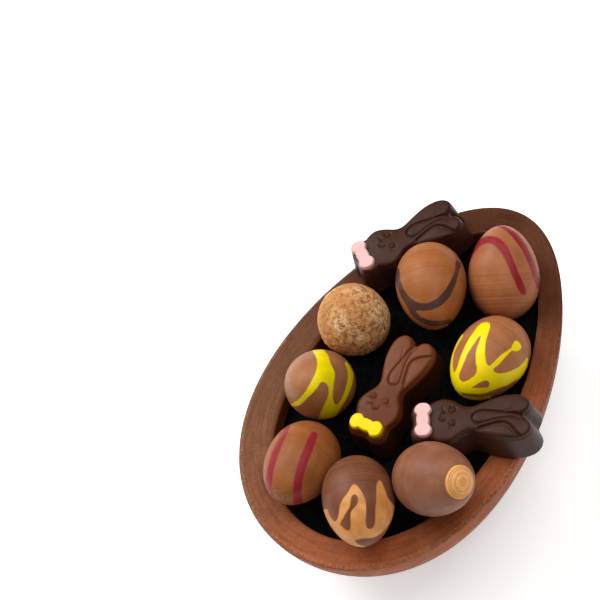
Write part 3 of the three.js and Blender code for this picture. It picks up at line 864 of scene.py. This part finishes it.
def seen_bands(node, points, normals):
    """Distance in mm to the edge of the bands, which run out on the side that isn't seen."""
    pixels, size = to_pixels(points)
    value = np.full(len(points), FAR)
    for stripe in STRIPES.get(node, []):
        value = np.minimum(value, stripe_distance(pixels, stripe))
    if node in OUTLINES:
        value = np.minimum(value, outline_distance(pixels, OUTLINES[node]))
    return value * size + BAND_RUN_OUT * np.maximum(0, -facing_camera(points, normals))


def facing_camera(points, normals):
    """1 where the skin faces the camera, 0 where it is seen edge on, and negative behind."""
    to_camera = np.array(CAMERA_AT) - points
    to_camera /= np.linalg.norm(to_camera, axis=1)[:, None]
    return (normals * to_camera).sum(1)


def band_attribute(node, mesh, place, turned_copies):
    """Distance in mm to the edge of the bands, with copies turned about the egg's own axis."""
    local = points_of(mesh)
    local_normals = rows_of(mesh.vertex_normals, "vector")
    turn = np.array(place.to_3x3()).T
    normals = local_normals @ turn
    points = to_rim(local, place)
    value = seen_bands(node, points, normals)
    kept_clear = BAND_KEPT_CLEAR * np.maximum(0, facing_camera(points, normals) + 0.1)
    for degrees in turned_copies:
        about = np.array(Matrix.Rotation(math.radians(degrees), 3, "X"))
        copy = seen_bands(node, to_rim(local @ about, place), local_normals @ about @ turn)
        value = np.minimum(value, copy + kept_clear)
    return np.clip(value, -NO_BAND, NO_BAND)


# The chocolate from dark to light, then the band's two tones and half the width of its soft edge.
EGG_COLOURS = {
    "caramel_swirl_egg": ("#97562b", "#a96838", ("#4d3029", "#5a3a32", 0.16)),
    "red_striped_tall_egg": ("#9a5a36", "#ad6c44", ("#881a20", "#912026", 0.3)),
    "yellow_lattice_egg": ("#9a5c36", "#b07045", ("#f4d800", "#f8e000", 0.18)),
    "yellow_band_egg": ("#965d3a", "#aa724a", ("#e8d000", "#f2dc00", 0.22)),
    "red_striped_low_egg": ("#8b4f28", "#9e6032", ("#8b1e26", "#94262d", 0.3)),
    "blond_swirl_egg": ("#6b3e29", "#804e35", ("#cc8648", "#dc9a58", 0.2)),
    "blond_tip_egg": ("#814d37", "#976349", ("#e49e58", "#f2b06c", 0.14)),
}
# Degrees about the egg's axis at which its bands are repeated where the camera doesn't see.
TURNED_COPIES = {
    "caramel_swirl_egg": (180,),
    "red_striped_tall_egg": (130, 230),
    "yellow_lattice_egg": (150, 215),
    "yellow_band_egg": (140, 220),
    "red_striped_low_egg": (110, 180, 250),
    "blond_swirl_egg": (150, 210),
}


def from_tip(mesh):
    """Distance in mm from each vertex to the egg's pointed tip."""
    points = points_of(mesh)
    return np.hypot(np.hypot(points[:, 1], points[:, 2]), points[:, 0] - points[:, 0].max())


def add_small_eggs():
    for seed, (node, (at, azimuth, elevation, size)) in enumerate(EGG_PLACES.items()):
        place = placement(at, azimuth, elevation)
        mesh = small_egg_mesh(node, size, seed)
        if node == DISC_EGG:
            distance = from_tip(mesh)
            add_attribute(mesh, "from_tip", distance)
            band = distance - TIP_DISC_RADIUS
        else:
            band = band_attribute(node, mesh, place, TURNED_COPIES[node])
        add_attribute(mesh, "band", band)
        add_piece(node, mesh, small_egg_look(node, *EGG_COLOURS[node]), place)


# ---- The truffle ----

TRUFFLE_BUMPS, TRUFFLE_GRAIN = 0.16, 0.07


def truffle_mesh():
    work = bmesh.new()
    bmesh.ops.create_icosphere(work, subdivisions=7, radius=1)
    mesh = bpy.data.meshes.new("truffle")
    work.to_mesh(mesh)
    work.free()
    mesh.shade_smooth()
    unit = points_of(mesh) * MM
    x, y, z = unit.T
    lumps = TRUFFLE_LUMPINESS * (np.sin(3 * x + 1) + np.sin(4 * y) + np.cos(3 * z + 2))
    radius = TRUFFLE_RADIUS * (1 + lumps)
    skin = unit * radius[:, None]
    radius += TRUFFLE_BUMPS * wander(skin, 0.22, 31, 2) + TRUFFLE_GRAIN * wander(skin, 0.9, 32, 2)
    move_points(mesh, unit * radius[:, None])
    return mesh


def truffle_look():
    """Tan dust with dark crumbs showing through, more of them and more brown mottle towards -Y, where they
    are also painted shade on the side away from the light.
    """
    look = Look("cocoa_dust", 0.06)
    clouds = look.within(look.noise(0.12, 4.0), 0.35, 0.65)
    dust = look.mix(clouds, "#c88c56", "#e8b886")
    # Painted shade: more crumbs and mottle towards -Y, the side away from the light, mixed with bare patches
    # at random.
    painted_shade_side = look.within(look.axes()["Y"], 7, -9)
    bare_patches_and_shade = look.times(painted_shade_side, 0.25, look.noise(0.1, 3.0))
    bare_and_shaded = look.within(bare_patches_and_shade, 0.4, 0.75)
    mottle = look.within(look.noise(0.6, 7.0), 0.44, 0.62)
    colour = look.tint(dust, "#7e4624", mottle, look.times(bare_and_shaded, 0.4, 0.3))
    clusters = look.within(look.noise(0.28, 3.0), 0.4, 0.62)
    level = look.times(clusters, -0.1, look.times(bare_and_shaded, -0.04, 0.66))
    crumbs = look.within(look.minus(look.noise(1.5, 6.0), level), 0.0, 0.09)
    colour = look.tint(colour, "#40241a", crumbs, 0.75)
    return look.paint(colour, 0.95, look.noise(1.4, 6.0), 0.4)


# ---- The bunnies and their bows ----

BUNNY_VOXEL = 0.3
BUNNY_ROUND_STEPS = 6
BUNNY_LEDGE = 0.35  # how far the block stands out below the edge of the face
BUNNY_LEDGE_LEVEL = -1.9
LEDGE_ROUND = 0.2
LEDGE_FILLET = 0.1
FOOT_ROUND = 0.4
RELIEF_FROM, RELIEF_TO = -1.2, -0.2  # levels over which the relief of the face sets in
FINER_ABOVE = -0.6
FACE_DOME = 0.5
FACE_DOME_EDGE = 2.4
CASTING_WARP = 0.12

# Fine lines of the mould, from the bow along the bunny and across it, in mm.
EAR_LINE = (
    (34.4, 0.4), (31.5, 0.9), (29.0, 1.2), (26.2, 1.7), (23.3, 2.3), (21.0, 2.5), (19.0, 1.9),
    (17.9, 0.6), (18.1, -0.9), (19.1, -1.9), (20.6, -1.9), (23.8, -1.2), (27.5, -0.5),
    (31.5, -0.4), (33.6, -1.2),
)
EAR_CREASE = ((31.4, 3.0), (30.0, 2.1), (28.0, 1.7))
FOLD_LINE = (
    (20.0, -3.5), (23.4, -2.6), (26.8, -2.0), (28.6, -2.2), (30.2, -3.2), (31.4, -4.6),
    (32.4, -6.2), (33.2, -7.2),
)
EYES = ((11.6, 3.3), (11.4, -1.7))
EYE_SOCKET_RADIUS = 1.1
NOSE = (7.8, 1.7)
HEAD_MIDDLE = (8.5, 0)
MOUTH_LINE = ((8.9, 2.6), (8.1, 1.9), (7.2, 1.4), (7.2, 0.2), (7.9, -0.6), (8.9, -0.5))
WHISKERS = (
    ((10.5, -2.6), (11.3, -3.8)), ((10.0, -3.0), (10.5, -4.0)), ((10.7, 5.1), (11.0, 3.9)),
    ((8.2, 4.3), (8.5, 3.1)),
)
# What rises from the face or is cut into it: height or depth, and half width.
HEAD_RISE, EYE_RISE, NOSE_RISE = (0.4, 6.5), (0.4, 0.6), (0.38, 0.7)
NOTCH_CUT, CREASE_CUT, SOCKET_CUT = (0.9, 1.1), (0.24, 0.28), (0.3, 0.3)
EAR_CUT, FOLD_CUT, SECOND_FOLD_CUT = (0.5, 0.3), (0.55, 0.34), (0.16, 0.22)
MOUTH_CUT, WHISKER_CUT = (0.42, 0.32), (0.26, 0.28)
EAR_STEP, FOLD_STEP = (0.28, 1.5), (0.6, 1.8)


def bunny_outline(column):
    """The closed outline of the face, from column 0 of the table, or of the foot, from column 2."""
    half = [row[column:column + 2] for row in BUNNY_HALF_OUTLINE]
    mirrored = [(along, -side) for along, side in half]
    return smooth_curve(half + mirrored[::-1], 6, closed=True)


def offset_outline(outline, distance, level):
    """The outline moved outwards by a distance, at a level."""
    ahead = np.roll(outline, -1, 0) - np.roll(outline, 1, 0)
    outward = np.stack([-ahead[:, 1], ahead[:, 0]], 1)
    outward /= np.linalg.norm(outward, axis=1)[:, None]
    moved = outline + outward * distance
    return np.column_stack([moved, np.full(len(outline), level)])


def bunny_blank():
    """The bunny's block: sides that spread to the foot, a ledge, and a crisp edge round the face."""
    face, foot = bunny_outline(0), bunny_outline(2)
    edge = BUNNY_EDGE_ROUND
    rings = [
        offset_outline(foot, -FOOT_ROUND, -BUNNY_THICKNESS),
        offset_outline(foot, 0, -BUNNY_THICKNESS + FOOT_ROUND),
        offset_outline(face, BUNNY_LEDGE, BUNNY_LEDGE_LEVEL - LEDGE_ROUND),
        offset_outline(face, BUNNY_LEDGE - LEDGE_ROUND, BUNNY_LEDGE_LEVEL),
        offset_outline(face, LEDGE_FILLET / 2, BUNNY_LEDGE_LEVEL + LEDGE_FILLET),
    ]
    for angle in np.linspace(0.1, math.pi / 2, BUNNY_ROUND_STEPS):
        rings.append(offset_outline(face, edge * (math.cos(angle) - 1), edge * (math.sin(angle) - 1)))
    count = len(face)
    faces = side_faces(len(rings), count)
    faces.append(tuple(range(count))[::-1])
    faces.append(tuple(range((len(rings) - 1) * count, len(rings) * count)))
    return mesh_of("bunny_blank", np.vstack(rings), faces)


def remeshed(mesh, voxel):
    """An even mesh of the same form, fine enough to carry relief."""
    holder = add_object("remesh_holder", mesh)
    remesh = holder.modifiers.new("remesh", "REMESH")
    remesh.mode = "VOXEL"
    remesh.voxel_size = voxel * MM
    smooth = holder.modifiers.new("smooth", "SMOOTH")
    smooth.iterations = 2
    graph = bpy.context.evaluated_depsgraph_get()
    even = bpy.data.meshes.new_from_object(holder.evaluated_get(graph))
    bpy.data.objects.remove(holder)
    return even


def finer_on_top(mesh, level):
    """Splits the faces that look up and lie above a level in mm, to carry finer lines."""
    work = bmesh.new()
    work.from_mesh(mesh)
    top = [face for face in work.faces if face.normal.z > 0.8 and face.calc_center_median().z > level * MM]
    edges = list({edge for face in top for edge in face.edges})
    bmesh.ops.subdivide_edges(work, edges=edges, cuts=1, use_grid_fill=True)
    work.to_mesh(mesh)
    work.free()


def face_relief(flat, inside):
    """Height of the moulded face over the flat block; inside is the distance to its outline."""
    ear_line, fold_line = smooth_curve(EAR_LINE, 5), smooth_curve(FOLD_LINE, 5)
    to_ear, to_fold = line_distance(flat, ear_line), line_distance(flat, fold_line)
    left_of_ear, right_of_fold = side_of(flat, ear_line) > 0, side_of(flat, fold_line) < 0
    raised = FACE_DOME * (1 - np.exp(-inside / FACE_DOME_EDGE))
    raised += ridge(distance_to(flat, HEAD_MIDDLE), *HEAD_RISE)
    raised -= smooth_step(24, 35, flat[:, 0]) * ridge(flat[:, 1] - 0.1, *NOTCH_CUT)
    raised -= ridge(to_ear, *EAR_CUT) + ridge(to_fold, *FOLD_CUT)
    raised -= EAR_STEP[0] * np.exp(-to_ear / EAR_STEP[1]) * left_of_ear
    raised -= FOLD_STEP[0] * np.exp(-to_fold / FOLD_STEP[1]) * right_of_fold
    raised -= ridge(to_fold - 1.0, *SECOND_FOLD_CUT) * right_of_fold
    raised -= ridge(line_distance(flat, np.array(EAR_CREASE)), *CREASE_CUT)
    for eye in EYES:
        apart = distance_to(flat, eye)
        raised += ridge(apart, *EYE_RISE) - ridge(apart - EYE_SOCKET_RADIUS, *SOCKET_CUT)
    raised += ridge(distance_to(flat, NOSE), *NOSE_RISE)
    raised -= ridge(line_distance(flat, smooth_curve(MOUTH_LINE, 4)), *MOUTH_CUT)
    for whisker in WHISKERS:
        raised -= ridge(line_distance(flat, np.array(whisker)), *WHISKER_CUT)
    return raised


def bunny_mesh():
    mesh = remeshed(bunny_blank(), BUNNY_VOXEL)
    finer_on_top(mesh, FINER_ABOVE)
    points = points_of(mesh)
    outline = bunny_outline(0)
    upper = smooth_step(RELIEF_FROM, RELIEF_TO, points[:, 2])
    on_face = upper > 0
    flat = points[on_face, :2]
    inside = line_distance(flat, np.vstack([outline, outline[:1]]))
    points[on_face, 2] += upper[on_face] * face_relief(flat, inside)
    move_points(mesh, points)
    mesh.shade_smooth()
    return mesh


def worn_copy(template, seed):
    """The same casting again, with its own slight unevenness."""
    mesh = template.copy()
    points = points_of(mesh)
    points += np.stack([CASTING_WARP * wander(points, 0.09, seed + k) for k in range(3)], 1)
    move_points(mesh, points)
    return mesh


BOW_RINGS = 110
BOW_AROUND = 96
BOW_NOTCH_AT = 0.3
BOW_NOTCH = (0.28, 0.1)
BOW_SUNK = 0.2
BOW_LIFT = 0.45  # the dome of the face under the bow


def bow_half_width(side):
    """A knot, a notch on each side of it, and two broad lobes with blunt ends; side is -1 to 1."""
    out = abs(side)
    width = BOW_KNOT_HALF_WIDTH + (BOW_LOBE_RADIUS - BOW_KNOT_HALF_WIDTH) * smooth_step(0.2, 0.66, out)
    width -= ridge(out - BOW_NOTCH_AT, *BOW_NOTCH)
    return width * (1 - out ** 3.4) ** 0.42


def bow_mesh():
    """A flat-topped bow with crisp rounded edges, lying along Y, with a flat underside."""
    reach = BOW_LOBE_SPREAD + BOW_LOBE_RADIUS
    around = full_turn(BOW_AROUND)
    level, up = np.cos(around), np.sin(around)
    rings = []
    for side in -np.cos(np.linspace(0, np.pi, BOW_RINGS + 1)[1:-1]):
        width = bow_half_width(side)
        top = BOW_HEIGHT * (1 - abs(side) ** 5) ** 0.2
        across = width * np.sign(level) * np.abs(level) ** 0.55
        height = np.where(up > 0, top * np.abs(up) ** 0.5, 0.25 * up)
        sunk = BOW_SUNK * smooth_step(0.5, 1.05, width - np.abs(across)) * smooth_step(0.95, 0.82, abs(side))
        rings.append(np.stack([across, np.full_like(across, side * reach), height - sunk * (up > 0)], 1))
    return ring_mesh("bow", rings, (0, -reach, 0), (0, reach, 0))


def bunny_looks():
    # Colours of the painted light on the milk bunny's ears and of the painted shade on its flanks.
    lit_ears_and_shaded_flanks = ("#7c462a", "#34170d")
    milk = moulded_look("bunny_milk_chocolate", "#5b2c13", "#67341a", (0.34, 0.43), lit_ears_and_shaded_flanks)
    dark = moulded_look("dark_chocolate", "#371c12", "#432419", (0.33, 0.42))
    return {"milk_bunny": milk, "dark_bunny_low": dark, "dark_bunny_top": dark}


def add_bunnies():
    template = bunny_mesh()
    bow = bow_mesh()
    looks = bunny_looks()
    yellow = moulded_look("yellow_chocolate", "#f6d200", "#fada00", (0.36, 0.44))
    pink = moulded_look("pink_chocolate", "#ebb5b2", "#f1bfbc", (0.46, 0.56))
    for seed, (node, (at, azimuth, bow_node, bow_along)) in enumerate(BUNNY_PLACES.items()):
        place = placement(at, azimuth)
        add_piece(node, worn_copy(template, 50 + 5 * seed), looks[node], place)
        bow_look = yellow if bow_node == "yellow_bow" else pink
        bow_place = place @ Matrix.Translation(Vector((bow_along, 0, BOW_LIFT)) * MM)
        add_piece(bow_node, worn_copy(bow, 70 + 5 * seed), bow_look, bow_place)


# ---- Floor, light and camera ----

FLOOR_HALF_SIZE = 3.0  # metres, as are the softboxes' size and distance
WORLD_LIGHT = 0.015
FLOOR_GLOW = 0.455  # the white sweep under the egg is lit from below as well
SOFTBOX_AWAY = 1.6
SOFTBOX_SIZE = 1.0
# Each softbox: how far to the camera's right, up and back it stands, and its watts.
SOFTBOXES = {
    "key": (-0.7, 0.7, 0.3, 20.5),
    "side": (-0.95, 0.3, 0.15, 4.5),
    "top": (0.0, 0.65, 0.75, 12.0),
    "front": (0.1, 0.1, 0.95, 6.2),
}


def add_floor():
    size, level = FLOOR_HALF_SIZE, SHELL_LOW.z
    mesh = bpy.data.meshes.new("floor")
    corners = [(-size, -size, level), (size, -size, level), (size, size, level), (-size, size, level)]
    mesh.from_pydata(corners, [], [(0, 1, 2, 3)])
    floor = add_object("floor", mesh)
    look = Look("floor_white", 0.3)
    look.paint("#f4f4f4", 0.6)
    look.shader.inputs["Emission Color"].default_value = (1, 1, 1, 1)
    look.shader.inputs["Emission Strength"].default_value = FLOOR_GLOW
    mesh.materials.append(look.material)


def add_softbox(name, right, up, back, watts):
    """A square light that looks at the middle of the rim."""
    light = bpy.data.lights.new(name, "AREA")
    light.size = SOFTBOX_SIZE
    light.energy = watts
    lamp = add_object(name, light)
    direction = CAMERA_RIGHT * right + CAMERA_UP * up + CAMERA_BACK * back
    lamp.location = RIM_MIDDLE + direction.normalized() * SOFTBOX_AWAY
    lamp.rotation_euler = direction.to_track_quat("Z", "Y").to_euler()


def add_light():
    world = bpy.data.worlds.new("studio")
    bpy.context.scene.world = world
    world.use_nodes = True
    background = world.node_tree.nodes["Background"]
    background.inputs["Color"].default_value = (1, 1, 1, 1)
    background.inputs["Strength"].default_value = WORLD_LIGHT
    for name, place_and_watts in SOFTBOXES.items():
        add_softbox(name, *place_and_watts)
    bpy.context.scene.view_settings.view_transform = "Standard"


def add_camera():
    data = bpy.data.cameras.new("camera")
    data.lens = LENS
    data.sensor_width = SENSOR
    data.sensor_fit = "HORIZONTAL"
    data.clip_start = 0.01
    camera = add_object("camera", data)
    turn = Matrix((CAMERA_RIGHT, CAMERA_UP, CAMERA_BACK)).transposed().to_4x4()
    camera.matrix_world = Matrix.Translation(RIM_MIDDLE + CAMERA_AT * MM) @ turn
    bpy.context.scene.camera = camera


add_camera()
add_piece("shell", shell_mesh(), shell_look())
add_piece("tissue_bed", bed_mesh(), bed_look())
add_small_eggs()
add_piece("truffle", truffle_mesh(), truffle_look(), placement(TRUFFLE_AT))
add_bunnies()
add_floor()
add_light()
